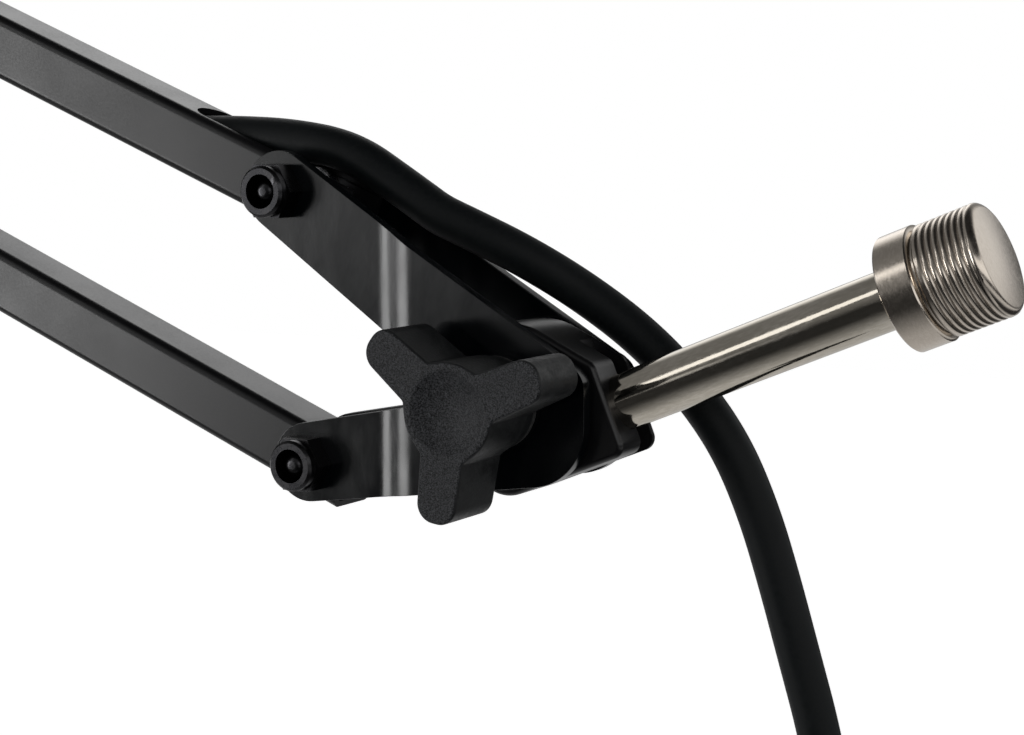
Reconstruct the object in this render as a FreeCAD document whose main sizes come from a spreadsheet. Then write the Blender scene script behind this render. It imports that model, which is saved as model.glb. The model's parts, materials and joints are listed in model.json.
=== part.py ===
import FreeCAD, Part
import math
import os
import Sketcher

# Microphone boom arm: desk clamp, swivel post, two parallelogram arms, tilting head and microphone lead.
# Millimetres, +Z up. The origin lies on the desk top, under the axis of the swivel post. The arm reaches
# towards +X, and every pivot of the arms and of the head runs along Y.

SIZES = {
    # square tubes of both arms
    "bar_side": 10,
    "bar_corner": 1.5,
    "bar_wall": 1,
    "bar_drop": 0.65,
    "bar_overhang": 9.5,
    "top_tip_overhang": 10.7,
    "bottom_tip_overhang": 5.5,
    "lower_length": 380,
    "upper_length": 380,
    "lower_lean": 105,
    "upper_fall": 21.6,
    "slot_far": 23.4,
    "slot_width": 7,
    # pivot bolts, sleeves and nuts
    "bolt_radius": 2.5,
    "bolt_fit": 0.05,
    "bolt_recess": 0.7,
    "bolt_tip_radius": 1.7,
    "bolt_tip_round": 1.2,
    "bolt_tip_slope": 1.9,
    "head_radius": 4.75,
    "head_height": 2.8,
    "key_across": 3,
    "key_depth": 1.6,
    "sleeve_radius": 3.5,
    "sleeve_fit": 0.05,
    "open_fit": 0.3,
    "nut_across": 8,
    "nut_height": 3.2,
    "nut_collar_radius": 3.9,
    "nut_collar_height": 1.5,
    "nut_collar_edge": 0.4,
    "nut_mouth_radius": 2.6,
    # bracket plates
    "plate_thick": 2,
    "plate_gap": 10.6,
    "plate_rim": 8,
    "lower_span": 42,
    "base_pivot_height": 84,
    "base_foot": 15,
    "base_foot_corner": 4,
    "elbow_reach": 26,
    "elbow_rise": 16,
    "upper_rake": 4.85,
    "upper_span": 41.5,
    # head plates, measured from the tilt axis
    "tilt_reach": 39.25,
    "tilt_drop": 29.8,
    "arm_end_radius": 6.1,
    "nose_front": 14.3,
    "nose_low_radius": 9.2,
    "nose_low": 12.05,
    "nose_high_radius": 3.6,
    "nose_high": 6.2,
    "waist_radius": 60,
    "waist_ahead": 11.9,
    "waist_above": 75.7,
    "notch_radius": 4.5,
    "notch_back": 18,
    "notch_above": 2.3,
    "joggle_start": 21.3,
    "joggle_end": 14.3,
    "joggle_out": 1,
    "joggle_ramp": 0.9,
    # tilting block, in line with the shaft
    "tilt_rise": 22.5,
    "block_width": 11.4,
    "block_round": 12.35,
    "block_round_drop": 1.15,
    "block_front": 15.5,
    "block_corner": 1.9,
    "block_brow": 1.4,
    "block_rim": 0.8,
    "block_heel_back": 3.3,
    "block_heel_radius": 6,
    "block_slot_start": 0.4,
    "block_slot_depth": 4,
    "shaft_drop": 6.1,
    "tilt_bolt_radius": 3,
    "tilt_head_across": 10,
    "tilt_head_height": 4,
    "tilt_fit": 0.05,
    "washer_radius": 9,
    "washer_play": 0.05,
    # three-lobed knob
    "knob_reach": 16,
    "knob_lobe_turn": 22.2,
    "lobe_half": 3.2,
    "lobe_corner": 2.8,
    "lobe_depth": 10.5,
    "lobe_root": 0.8,
    "lobe_flare": 0.35,
    "hub_radius": 7.2,
    "hub_collar_radius": 6.9,
    "hub_collar_height": 2.2,
    "dish_radius": 6.4,
    "dish_depth": 1.5,
    "knob_edge": 0.4,
    "knob_washer_radius": 6.8,
    "knob_washer_thick": 1,
    "knob_play": 0.1,
    "insert_radius": 4.6,
    "insert_depth": 9,
    "bolt_entry": 8,
    # nickel shaft and its threaded stud, along the shaft from the tilt axis
    "shaft_radius": 4.15,
    "shaft_seat": 8.5,
    "shaft_pin_radius": 1,
    "shaft_pin_ahead": 11,
    "stud_start": 60,
    "stud_collar_radius": 8.2,
    "stud_collar_length": 5,
    "stud_collar_edge": 0.3,
    "stud_relief_radius": 7.2,
    "stud_relief_length": 0.8,
    "stud_thread_radius": 7.9,
    "stud_thread_length": 8.6,
    "stud_tip_radius": 7.55,
    "stud_bore": 6,
    "press_fit": 0.01,
    # balance springs inside the tubes
    "spring_radius": 3.5,
    "spring_wire": 0.9,
    "spring_length": 150,
    "spring_start": 30,
    # desk clamp
    "clamp_width": 36,
    "jaw_thick": 9,
    "jaw_reach": 30,
    "lower_jaw_reach": 17,
    "spine_thick": 9,
    "throat": 34,
    "mouth": 60,
    "clamp_outer_corner": 7,
    "clamp_inner_corner": 4,
    "clamp_tip_corner": 3,
    "clamp_rim": 1.5,
    "jaw_pad_thick": 2,
    "jaw_pad_inset": 2,
    "boss_radius": 15,
    "boss_height": 35,
    "boss_floor": 4,
    "post_radius": 6,
    "post_fit": 0.05,
    "post_play": 0.5,
    "bush_wall": 2.5,
    "bush_flange_radius": 12,
    "bush_flange_thick": 2,
    "post_flange_radius": 11,
    "post_flange_thick": 4,
    "flange_play": 0.05,
    "post_seat": 12,
    "base_block_height": 18,
    "base_block_bolt_span": 18,
    # clamp spindle
    "desk_thick": 25,
    "disc_radius": 15,
    "disc_thick": 5,
    "disc_pad_thick": 2,
    "disc_boss_radius": 8,
    "disc_boss_height": 7,
    "spindle_radius": 5,
    "spindle_tip_radius": 3.6,
    "spindle_fit": 0.1,
    "spindle_length": 80,
    "spindle_head_radius": 8,
    "spindle_head_height": 14,
    "nut_boss_radius": 11,
    "nut_boss_height": 7,
    "tbar_radius": 3,
    "tbar_length": 76,
    "tbar_cap_radius": 4.6,
    "tbar_cap_length": 9,
    # microphone lead and its connectors
    "lead_radius": 3.15,
    "lead_tube_start": 33,
    "boot_length": 20,
    "boot_tip_radius": 4.4,
    "boot_root_radius": 7.2,
    "shell_radius": 9.5,
    "shell_neck_radius": 8,
    "shell_length": 46,
    "shell_wall": 1.1,
    "socket_recess": 1.2,
    "plug_depth": 15,
    "pin_radius": 1.2,
    "pin_circle": 3.4,
    "pin_length": 12,
    "pin_hole_fit": 0.2,
    "pin_hole_depth": 9,
    "latch_width": 6,
    "latch_length": 9,
    "latch_height": 0.8,
}

# The lead's free stretches are routes chosen by hand: from the tilt axis at the microphone end, and from
# the upper elbow pivot at the line end. The first two points lie on the axis of the tube.
MIC_ROUTE = [
    (-70.17, 0.0, 41.34), (-61.80, 0.0, 38.03), (-52.2, 0.0, 38.1), (-41.4, 0.2, 37.6),
    (-30.8, 0.6, 35.7), (-21.7, 1.2, 30.0), (-12.4, 1.9, 24.8), (-2.5, 3.4, 20.9), (5.9, 7.1, 15.5),
    (14.3, 10.1, 9.3), (21.7, 10.8, 1.5), (28.6, 11.5, -6.7), (33.4, 11.8, -16.4), (36.8, 11.9, -26.6),
    (39.4, 12.0, -37.0), (42.3, 12.0, -47.4), (44.4, 12.2, -57.6), (45.6, 12.4, -67.8), (46.0, 12.5, -77.6),
]
LINE_ROUTE = [
    (30.44, 0.0, -12.75), (22.08, 0.0, -9.44), (13.0, 0.0, -2.4), (5.8, 0.5, 4.8), (-2.4, 1.8, 10.2),
    (-11.6, 4.2, 12.9), (-21.0, 7.6, 11.6), (-29.0, 11.2, 5.8), (-34.8, 14.8, -2.8), (-38.4, 18.0, -13.0),
    (-40.4, 20.4, -24.0), (-41.6, 22.0, -35.2), (-42.2, 22.8, -46.6), (-42.5, 23.2, -58.2),
    (-42.6, 23.3, -69.8), (-42.6, 23.3, -80.6),
]

doc = FreeCAD.newDocument("boom_arm")
sheet = doc.addObject("Spreadsheet::Sheet", "Dim")
for row, (alias, size) in enumerate(SIZES.items(), 1):
    sheet.set(f"A{row}", alias)
    sheet.set(f"B{row}", str(size))
    sheet.setAlias(f"B{row}", alias)
doc.recompute()

# Places worked out from the driving dimensions: pivots in the rest pose, and heights of the base.
PLACES = {
    "jaw_under": "Dim.jaw_pad_thick",
    "jaw_top": "At.jaw_under + Dim.jaw_thick",
    "boss_top": "At.jaw_top + Dim.boss_height",
    "flange_under": "At.boss_top + Dim.bush_flange_thick + Dim.flange_play",
    "block_under": "At.flange_under + Dim.post_flange_thick",
    "block_top": "At.block_under + Dim.base_block_height",
    "lower_jaw_under": "-Dim.mouth - Dim.jaw_thick",
    "base_front_x": "Dim.lower_span / 2",
    "base_rear_x": "-Dim.lower_span / 2",
    "base_z": "Dim.base_pivot_height",
    "elbow_front_x": "At.base_front_x + Dim.lower_length * cos(Dim.lower_lean)",
    "elbow_rear_x": "At.elbow_front_x - Dim.lower_span",
    "elbow_z": "At.base_z + Dim.lower_length * sin(Dim.lower_lean)",
    "under_x": "At.elbow_front_x + Dim.elbow_reach",
    "under_z": "At.elbow_z + Dim.elbow_rise",
    "over_x": "At.under_x - Dim.upper_rake",
    "over_z": "At.under_z + Dim.upper_span",
    "tip_over_x": "At.over_x + Dim.upper_length * cos(Dim.upper_fall)",
    "tip_over_z": "At.over_z - Dim.upper_length * sin(Dim.upper_fall)",
    "tip_under_x": "At.tip_over_x + Dim.upper_rake",
    "tip_under_z": "At.tip_over_z - Dim.upper_span",
    "tilt_x": "At.tip_over_x + Dim.tilt_reach",
    "tilt_z": "At.tip_over_z - Dim.tilt_drop",
    "plate_out": "Dim.plate_gap / 2 + Dim.plate_thick",
    "nose_in": "Dim.plate_gap / 2 + Dim.joggle_out",
    "nose_out": "At.nose_in + Dim.plate_thick",
    "joggle_run": "Dim.joggle_start - Dim.joggle_end",
    "joggle_middle": "(At.joggle_run ^ 2 + Dim.joggle_out ^ 2 - Dim.joggle_ramp ^ 2) / (4 * Dim.joggle_out)",
    "joggle_bend": "At.joggle_middle - Dim.plate_thick / 2",
    "hub_back": "At.nose_out + Dim.knob_washer_thick + Dim.knob_play",
    "lobe_back": "At.hub_back + Dim.hub_collar_height",
    "knob_face": "At.lobe_back + Dim.lobe_depth",
    "disc_top": "-Dim.desk_thick - Dim.disc_pad_thick",
    "disc_under": "At.disc_top - Dim.disc_thick",
    "spindle_top": "At.disc_under - Dim.disc_boss_height",
    "spindle_bottom": "At.spindle_top - Dim.spindle_length",
    "stud_thread_start": "Dim.stud_start + Dim.stud_collar_length + Dim.stud_relief_length",
    "stud_end": "At.stud_thread_start + Dim.stud_thread_length",
}
places = doc.addObject("App::VarSet", "At")
for place, formula in PLACES.items():
    places.addProperty("App::PropertyFloat", place)
    places.setExpression(place, formula)
doc.recompute()

UP = FreeCAD.Vector(0, 0, 1)
ALONG_Y = FreeCAD.Rotation(FreeCAD.Vector(1, 0, 0), -90)
nodes = {}


def value(formula):
    """The number that a formula of sizes and places comes to."""
    return float(sheet.evalExpression(str(formula)))


def bind(thing, links):
    """Tie properties of a document object to formulas."""
    for prop, formula in links.items():
        thing.setExpression(prop, str(formula))


def place(thing, x=0, y=0, z=0):
    bind(thing, {"Placement.Base.x": x, "Placement.Base.y": y, "Placement.Base.z": z})


def node(name, thing):
    """Give a finished sub-part the name that its file takes."""
    thing.Label = name
    nodes[name] = thing
    return thing


def new_body(name, x=0, y=0, z=0, turn=None, down=True):
    """A body at a place, turned about Y by a formula: down tips its X axis below the horizontal."""
    body = doc.addObject("PartDesign::Body", name + "_body")
    if turn is not None:
        axis = FreeCAD.Vector(0, 1 if down else -1, 0)
        body.Placement = FreeCAD.Placement(FreeCAD.Vector(), FreeCAD.Rotation(axis, value(turn)))
        bind(body, {"Placement.Rotation.Angle": turn})
    place(body, x, y, z)
    return body


def new_sketch(body, plane, offset=0):
    """A sketch on one of the body's own planes, moved along that plane's normal."""
    sketch = body.newObject("Sketcher::SketchObject", body.Name + "_sketch")
    support = [f for f in body.Origin.OriginFeatures if f.Role == plane][0]
    sketch.AttachmentSupport = [(support, "")]
    sketch.MapMode = "FlatFace"
    bind(sketch, {"AttachmentOffset.Base.z": offset})
    return sketch


def fix(sketch, kind, links, formula):
    """Add one dimension to a sketch and tie it to a formula."""
    index = sketch.addConstraint(Sketcher.Constraint(kind, *links, value(formula)))
    label = f"size_{index}"
    sketch.renameConstraint(index, label)
    sketch.setExpression(f"Constraints.{label}", str(formula))


def fix_point(sketch, geometry, end, x, y):
    fix(sketch, "DistanceX", (-1, 1, geometry, end), x)
    fix(sketch, "DistanceY", (-1, 1, geometry, end), y)


def circle(sketch, x, y, radius):
    centre = FreeCAD.Vector(value(x), value(y), 0)
    ring = sketch.addGeometry(Part.Circle(centre, UP, value(radius)))
    fix(sketch, "Radius", (ring,), radius)
    fix_point(sketch, ring, 3, x, y)


def outline(sketch, corners):
    """A closed outline run anticlockwise round corners, each (x, y) sharp or (x, y, radius, turn) round.

    A round corner gives the centre of its arc, and its turn is 1 where the arc bulges out of the outline
    and -1 where it bites in. Straight lines touch the arcs on both sides.
    """
    rounds = [(tuple(corner) + (0, 1))[:4] for corner in corners]
    measured = [(FreeCAD.Vector(value(x), value(y), 0), value(r), turn) for x, y, r, turn in rounds]
    count = len(rounds)
    ends = []
    for here, ahead in zip(measured, measured[1:] + measured[:1]):
        reach = ahead[0] - here[0]
        lean = (ahead[2] * ahead[1] - here[2] * here[1]) / reach.Length
        heading = math.atan2(reach.y, reach.x) - math.asin(lean)
        left = FreeCAD.Vector(-math.sin(heading), math.cos(heading), 0)
        ends.append((here[0] - left * here[2] * here[1], ahead[0] - left * ahead[2] * ahead[1]))
    lines = [sketch.addGeometry(Part.LineSegment(start, stop)) for start, stop in ends]
    for k in range(count):
        x, y, radius, turn = rounds[k]
        centre, size, _ = measured[k]
        before, after = lines[k - 1], lines[k]
        if size == 0:
            sketch.addConstraint(Sketcher.Constraint("Coincident", before, 2, after, 1))
            fix_point(sketch, after, 1, x, y)
            continue
        arrive, leave = ends[k - 1][1] - centre, ends[k][0] - centre
        first, last = (arrive, leave) if turn > 0 else (leave, arrive)
        angles = [math.atan2(v.y, v.x) for v in (first, last)]
        arc = sketch.addGeometry(Part.ArcOfCircle(Part.Circle(centre, UP, size), *angles))
        enter, exit_ = (1, 2) if turn > 0 else (2, 1)
        sketch.addConstraint(Sketcher.Constraint("Tangent", before, 2, arc, enter))
        sketch.addConstraint(Sketcher.Constraint("Tangent", arc, exit_, after, 1))
        fix(sketch, "Radius", (arc,), radius)
        fix_point(sketch, arc, 3, x, y)


def pad(body, sketch, length, both=False):
    feature = body.newObject("PartDesign::Pad", body.Name + "_pad")
    feature.Profile = sketch
    feature.SideType = "Symmetric" if both else "One side"
    bind(feature, {"Length": length})
    return feature


def pocket(body, sketch, depth=None, back=False):
    """Cut a sketch right through both ways, or to a depth against the sketch's normal."""
    feature = body.newObject("PartDesign::Pocket", body.Name + "_pocket")
    feature.Profile = sketch
    if depth is None:
        feature.SideType = "Symmetric"
        feature.Type = "ThroughAll"
    else:
        feature.Reversed = back
        bind(feature, {"Length": depth})
    return feature


def turn_profile(body, corners, cut=False, plane="XZ_Plane"):
    """Turn a profile of (radius, height) corners about the body's Z axis."""
    sketch = new_sketch(body, plane)
    outline(sketch, corners)
    kind = "PartDesign::Groove" if cut else "PartDesign::Revolution"
    feature = body.newObject(kind, body.Name + "_turned")
    feature.Profile = sketch
    feature.ReferenceAxis = (sketch, ["V_Axis"])
    return feature


def soften(body, feature, radius, test):
    """Round the edges of a feature whose middle passes a test."""
    doc.recompute()
    edges = []
    for index, edge in enumerate(feature.Shape.Edges, 1):
        if test(edge):
            edges.append(f"Edge{index}")
    rounding = body.newObject("PartDesign::Fillet", body.Name + "_fillet")
    rounding.Base = (feature, edges)
    bind(rounding, {"Radius": radius})
    return rounding


def group(name, pieces):
    """Identical pieces that share one node as separate solids."""
    compound = doc.addObject("Part::Compound", name + "_group")
    compound.Links = pieces
    return node(name, compound)


# Square tubes

def tube(name, x, z, turn, down, length, tip_fit, tip_over="Dim.bar_overhang", slotted=False):
    """A square tube from one pivot to the next, with a bolt hole a little above its middle at each.

    A slotted tube has a cord slot in its top at both ends.
    """
    body = new_body(name, x, 0, z, turn, down)
    section = new_sketch(body, "YZ_Plane", "-Dim.bar_overhang")
    for inset in ("0", "Dim.bar_wall"):
        half = "(Dim.bar_side / 2 - Dim.bar_corner)"
        radius = f"Dim.bar_corner - {inset}"
        outline(section, [(sy + half, f"{sz}{half} - Dim.bar_drop", radius, 1)
                          for sy, sz in (("-", "-"), ("", "-"), ("", ""), ("-", ""))])
    pad(body, section, f"{length} + Dim.bar_overhang + {tip_over}")
    holes = new_sketch(body, "XZ_Plane")
    circle(holes, 0, 0, "Dim.sleeve_radius + Dim.sleeve_fit")
    circle(holes, length, 0, f"Dim.sleeve_radius + {tip_fit}")
    pocket(body, holes)
    if slotted:
        slots = new_sketch(body, "XY_Plane", "Dim.bar_side / 2 - Dim.bar_drop")
        half = "Dim.slot_width / 2"
        root, tip = "-Dim.bar_overhang - Dim.bar_wall", f"{length} + {tip_over} + Dim.bar_wall"
        outline(slots, [(root, f"-{half}"), (f"Dim.slot_far - {half}", 0, half, 1), (root, half)])
        outline(slots, [(tip, f"-{half}"), (tip, half), (f"{length} - Dim.slot_far + {half}", 0, half, 1)])
        pocket(body, slots, "Dim.bar_side / 2")
    return node(name, body)


tube("lower_front_tube", "At.base_front_x", "At.base_z", "Dim.lower_lean", False, "Dim.lower_length",
     "Dim.sleeve_fit")
tube("lower_rear_tube", "At.base_rear_x", "At.base_z", "Dim.lower_lean", False, "Dim.lower_length",
     "Dim.open_fit")
tube("upper_top_tube", "At.over_x", "At.over_z", "Dim.upper_fall", True, "Dim.upper_length",
     "Dim.sleeve_fit", "Dim.top_tip_overhang", slotted=True)
tube("upper_bottom_tube", "At.under_x", "At.under_z", "Dim.upper_fall", True, "Dim.upper_length",
     "Dim.open_fit", "Dim.bottom_tip_overhang")


def spring(name, x, z, turn, down):
    """The close-wound balance spring in a tube, as the plain sleeve that its turns fill."""
    body = new_body(name, x, 0, z, turn, down)
    section = new_sketch(body, "YZ_Plane", "Dim.spring_start")
    circle(section, 0, "-Dim.bar_drop", "Dim.spring_radius")
    circle(section, 0, "-Dim.bar_drop", "Dim.spring_radius - Dim.spring_wire")
    pad(body, section, "Dim.spring_length")
    return node(name, body)


spring("lower_spring", "At.base_front_x", "At.base_z", "Dim.lower_lean", False)
spring("upper_spring", "At.under_x", "At.under_z", "Dim.upper_fall", True)


# Pivot hardware

def along_y(name, x, z):
    """A body whose Z axis lies along Y at a pivot."""
    body = doc.addObject("PartDesign::Body", name + "_body")
    body.Placement = FreeCAD.Placement(FreeCAD.Vector(), ALONG_Y)
    place(body, x, 0, z)
    return body


def hexagon(sketch, across):
    """A six-sided outline with two corners on the sketch's X axis."""
    reach = f"({across} / 2 / cos(30))"
    outline(sketch, [(f"{reach} * cos({60 * k})", f"{reach} * sin({60 * k})") for k in range(6)])


def pivot_bolt(name, x, z, out):
    """A button-head bolt from the far plate to just inside the nut's mouth."""
    body = along_y(name, x, z)
    tip = f"-({out} + Dim.nut_height + Dim.nut_collar_height - Dim.bolt_recess)"
    dome = "Dim.head_radius * 0.55"
    turn_profile(body, [(0, tip),
                        ("Dim.bolt_tip_radius - Dim.bolt_tip_round", f"{tip} + Dim.bolt_tip_round",
                         "Dim.bolt_tip_round", 1),
                        ("Dim.bolt_radius", f"{tip} + Dim.bolt_tip_slope"), ("Dim.bolt_radius", out),
                        ("Dim.head_radius", out), ("Dim.head_radius", f"{out} + Dim.head_height / 3"),
                        (dome, f"{out} + Dim.head_height"), (0, f"{out} + Dim.head_height")])
    key = new_sketch(body, "XY_Plane", f"{out} + Dim.head_height")
    hexagon(key, "Dim.key_across")
    pocket(body, key, "Dim.key_depth")
    return body


def lock_nut(name, x, z, out):
    """A lock nut on the near plate: a hexagon with the round collar of its nylon ring."""
    body = along_y(name, x, z)
    flats = new_sketch(body, "XY_Plane", f"-({out} + Dim.nut_height)")
    hexagon(flats, "Dim.nut_across")
    pad(body, flats, "Dim.nut_height")
    top = f"-({out} + Dim.nut_height + Dim.nut_collar_height)"
    edge = "Dim.nut_collar_edge"
    turn_profile(body, [(0, top), (f"Dim.nut_collar_radius - {edge}", top),
                        ("Dim.nut_collar_radius", f"{top} + {edge}"),
                        ("Dim.nut_collar_radius", f"-({out})"), (0, f"-({out})")])
    turn_profile(body, [(0, top), ("Dim.nut_mouth_radius", top),
                        ("Dim.bolt_radius + Dim.bolt_fit", f"{top} + {edge}"),
                        ("Dim.bolt_radius + Dim.bolt_fit", f"-({out})"), (0, f"-({out})")], cut=True)
    return body


def sleeve(name, x, z):
    """The spacer sleeve between two plates, on which a tube turns."""
    body = along_y(name, x, z)
    ring = new_sketch(body, "XY_Plane")
    circle(ring, 0, 0, "Dim.sleeve_radius")
    circle(ring, 0, 0, "Dim.bolt_radius + Dim.bolt_fit")
    pad(body, ring, "Dim.plate_gap", both=True)
    return body


PIVOTS = {
    "base": [("At.base_front_x", "At.base_z"), ("At.base_rear_x", "At.base_z")],
    "elbow": [("At.elbow_front_x", "At.elbow_z"), ("At.elbow_rear_x", "At.elbow_z"),
              ("At.under_x", "At.under_z"), ("At.over_x", "At.over_z")],
    "head": [("At.tip_over_x", "At.tip_over_z"), ("At.tip_under_x", "At.tip_under_z")],
}
for bracket, spots in PIVOTS.items():
    group(f"{bracket}_pivot_bolts",
          [pivot_bolt(f"{bracket}_bolt_{k}", x, z, "At.plate_out") for k, (x, z) in enumerate(spots)])
    group(f"{bracket}_pivot_nuts",
          [lock_nut(f"{bracket}_nut_{k}", x, z, "At.plate_out") for k, (x, z) in enumerate(spots)])
    group(f"{bracket}_sleeves",
          [sleeve(f"{bracket}_sleeve_{k}", x, z) for k, (x, z) in enumerate(spots)])


# Flat bracket plates at the base and the elbow

def flat_plate(name, side, x, z, edge, holes):
    """A sheet-metal plate on one side of the tubes: side is -1 on the near side and 1 on the far side."""
    body = new_body(name, x, 0, z)
    middle = f"{-side} * (Dim.plate_gap + Dim.plate_thick) / 2"
    face = new_sketch(body, "XZ_Plane", middle)
    outline(face, edge)
    for hole_x, hole_z in holes:
        circle(face, hole_x, hole_z, "Dim.bolt_radius + Dim.bolt_fit")
    pad(body, face, "Dim.plate_thick", both=True)
    return node(name, body)


block_bolt_z = "(At.block_under + At.block_top) / 2"
block_bolts = [(f"{sign} Dim.base_block_bolt_span / 2", block_bolt_z) for sign in ("-", "")]
foot_x = "Dim.base_foot - Dim.base_foot_corner"
foot_z = "At.block_under + Dim.base_foot_corner"
base_edge = [(f"-({foot_x})", foot_z, "Dim.base_foot_corner", 1), (foot_x, foot_z, "Dim.base_foot_corner", 1),
             ("At.base_front_x", "At.base_z", "Dim.plate_rim", 1),
             ("At.base_rear_x", "At.base_z", "Dim.plate_rim", 1)]
elbow_holes = [("-Dim.lower_span", 0), (0, 0), ("Dim.elbow_reach", "Dim.elbow_rise"),
               ("Dim.elbow_reach - Dim.upper_rake", "Dim.elbow_rise + Dim.upper_span")]
elbow_edge = [spot + ("Dim.plate_rim", 1) for spot in elbow_holes]
for side, word in ((-1, "near"), (1, "far")):
    flat_plate(f"base_plate_{word}", side, 0, 0, base_edge, PIVOTS["base"] + block_bolts)
    flat_plate(f"elbow_plate_{word}", side, "At.elbow_front_x", "At.elbow_z", elbow_edge, elbow_holes)

base_block = new_body("base_block")
front = new_sketch(base_block, "XZ_Plane")
foot = "Dim.base_foot - Dim.bar_corner"
outline(front, [(f"-({foot})", "At.block_under + Dim.bar_corner", "Dim.bar_corner", 1),
                (foot, "At.block_under + Dim.bar_corner", "Dim.bar_corner", 1),
                (foot, "At.block_top - Dim.bar_corner", "Dim.bar_corner", 1),
                (f"-({foot})", "At.block_top - Dim.bar_corner", "Dim.bar_corner", 1)])
for hole_x, hole_z in block_bolts:
    circle(front, hole_x, hole_z, "Dim.bolt_radius + Dim.bolt_fit")
pad(base_block, front, "Dim.plate_gap", both=True)
seat = new_sketch(base_block, "XY_Plane", "At.block_under")
circle(seat, 0, 0, "Dim.post_radius / 2 + Dim.press_fit")
pocket(base_block, seat, "Dim.post_seat", back=True)
node("base_block", base_block)
group("block_bolts",
      [pivot_bolt(f"block_bolt_{k}", x, z, "At.plate_out") for k, (x, z) in enumerate(block_bolts)])
group("block_nuts",
      [lock_nut(f"block_nut_{k}", x, z, "At.plate_out") for k, (x, z) in enumerate(block_bolts)])


# Head plates: sheet metal, joggled outwards behind the tilt axis

def head_plate(name, side):
    """A forked plate: an arm to each tube, a notch between them, and a nose round the tilt bolt.

    The strip that it is cut from steps outwards in two equal bends, with a short ramp between them.
    """
    body = new_body(name, "At.tilt_x", 0, "At.tilt_z")
    strip = new_sketch(body, "XY_Plane")
    back, front = "-(Dim.tilt_reach + Dim.plate_rim)", "Dim.nose_front + Dim.plate_rim"
    start, stop = "-Dim.joggle_start", "-Dim.joggle_end"
    inner, bend = "Dim.plate_gap / 2", "At.joggle_bend"
    wide = "At.joggle_bend + Dim.plate_thick"
    outward, inward = "At.plate_out + At.joggle_bend", "At.nose_in - At.joggle_bend"
    run = [(back, inner, 0, 1), (start, outward, wide, 1), (stop, inward, bend, -1),
           (front, "At.nose_in", 0, 1), (front, "At.nose_out", 0, 1),
           (stop, inward, wide, 1), (start, outward, bend, -1), (back, "At.plate_out", 0, 1)]
    if side < 0:
        run = [(x, f"-({y})", radius, turn) for x, y, radius, turn in reversed(run)]
    outline(strip, run)
    pad(body, strip, "2 * (Dim.tilt_drop + Dim.upper_span)", both=True)
    shape = new_sketch(body, "XZ_Plane")
    over = ("-Dim.tilt_reach", "Dim.tilt_drop")
    under = ("Dim.upper_rake - Dim.tilt_reach", "Dim.tilt_drop - Dim.upper_span")
    arm = ("Dim.arm_end_radius", 1)
    outline(shape, [
        under + arm,
        ("Dim.nose_front - Dim.nose_low_radius", "Dim.nose_low_radius - Dim.nose_low",
         "Dim.nose_low_radius", 1),
        ("Dim.nose_front - Dim.nose_high_radius", "Dim.nose_high - Dim.nose_high_radius",
         "Dim.nose_high_radius", 1),
        ("Dim.waist_ahead", "Dim.waist_above", "Dim.waist_radius", -1),
        over + arm,
        ("-Dim.notch_back", "Dim.notch_above", "Dim.notch_radius", -1),
    ])
    reach = "2 * (Dim.tilt_reach + Dim.upper_span)"
    outline(shape, [(f"-{reach}", f"-{reach}"), (reach, f"-{reach}"), (reach, reach), (f"-{reach}", reach)])
    pocket(body, shape)
    holes = new_sketch(body, "XZ_Plane")
    for hole_x, hole_z in (over, under):
        circle(holes, hole_x, hole_z, "Dim.bolt_radius + Dim.bolt_fit")
    circle(holes, 0, 0, "Dim.tilt_bolt_radius + Dim.bolt_fit")
    pocket(body, holes)
    return node(name, body)


head_plate("head_plate_near", -1)
head_plate("head_plate_far", 1)

# Tilt bolt, knob and washers

tilt_bolt = along_y("tilt_bolt", "At.tilt_x", "At.tilt_z")
tilt_head = new_sketch(tilt_bolt, "XY_Plane", "At.nose_out")
hexagon(tilt_head, "Dim.tilt_head_across")
pad(tilt_bolt, tilt_head, "Dim.tilt_head_height")
shank = new_sketch(tilt_bolt, "XY_Plane", "-At.hub_back - Dim.bolt_entry")
circle(shank, 0, 0, "Dim.tilt_bolt_radius")
pad(tilt_bolt, shank, "At.nose_out + At.hub_back + Dim.bolt_entry")
node("tilt_bolt", tilt_bolt)

knob_washer = along_y("knob_washer", "At.tilt_x", "At.tilt_z")
washer_ring = new_sketch(knob_washer, "XY_Plane", "-At.nose_out - Dim.knob_washer_thick")
circle(washer_ring, 0, 0, "Dim.knob_washer_radius")
circle(washer_ring, 0, 0, "Dim.tilt_bolt_radius + Dim.bolt_fit")
pad(knob_washer, washer_ring, "Dim.knob_washer_thick")
node("knob_washer", knob_washer)


def tilt_washer(name, side):
    """A friction washer between the block and one head plate."""
    body = along_y(name, "At.tilt_x", "At.tilt_z")
    thick = "(At.nose_in - Dim.block_width / 2 - Dim.washer_play)"
    ring = new_sketch(body, "XY_Plane", f"{side} * (Dim.block_width + {thick}) / 2")
    circle(ring, 0, 0, "Dim.washer_radius")
    circle(ring, 0, 0, "Dim.tilt_bolt_radius + Dim.tilt_fit")
    pad(body, ring, thick, both=True)
    return body


group("tilt_washers", [tilt_washer("tilt_washer_near", -1), tilt_washer("tilt_washer_far", 1)])


def polar(angle, along, across):
    """A point given along and across a lobe that stands at an angle, as formulas."""
    return (f"({along}) * cos({angle}) - ({across}) * sin({angle})",
            f"({along}) * sin({angle}) + ({across}) * cos({angle})")


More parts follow.
